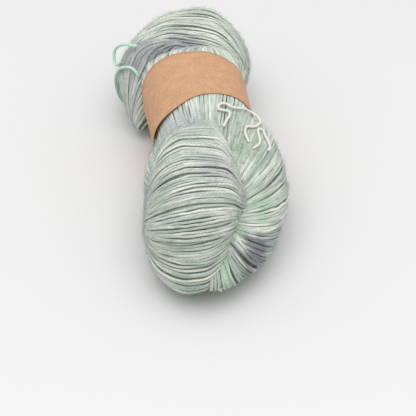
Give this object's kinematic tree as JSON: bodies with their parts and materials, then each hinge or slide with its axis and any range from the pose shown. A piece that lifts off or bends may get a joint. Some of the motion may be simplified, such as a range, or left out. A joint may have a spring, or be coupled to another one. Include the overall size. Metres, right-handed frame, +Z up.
{
  "type": "skein of yarn",
  "caption": "Twisted hank of yarn with folded lobed ends, a paper band round its waist and short thread ties, lying flat.",
  "frame": {"origin": "on the table under the middle of the skein's box", "axes": "+Y along the skein from its near end to its far end, +Z up"},
  "size_m": [0.0955, 0.2654, 0.0695],
  "materials": {
    "yarn": "soft, tonal hand-dyed wool yarn, matt",
    "kraft_paper": "uncoated kraft paper, matt",
    "cotton_thread": "off-white cotton thread, matt",
    "tie_yarn": "mint wool yarn, matt"
  },
  "bodies": {
    "root": {"hank": "yarn", "paper_band": "kraft_paper", "white_tie_long": "cotton_thread", "white_tie_bight": "cotton_thread", "mint_tie_ring": "tie_yarn", "mint_tie_loop": "tie_yarn"}
  },
  "joints": []
}
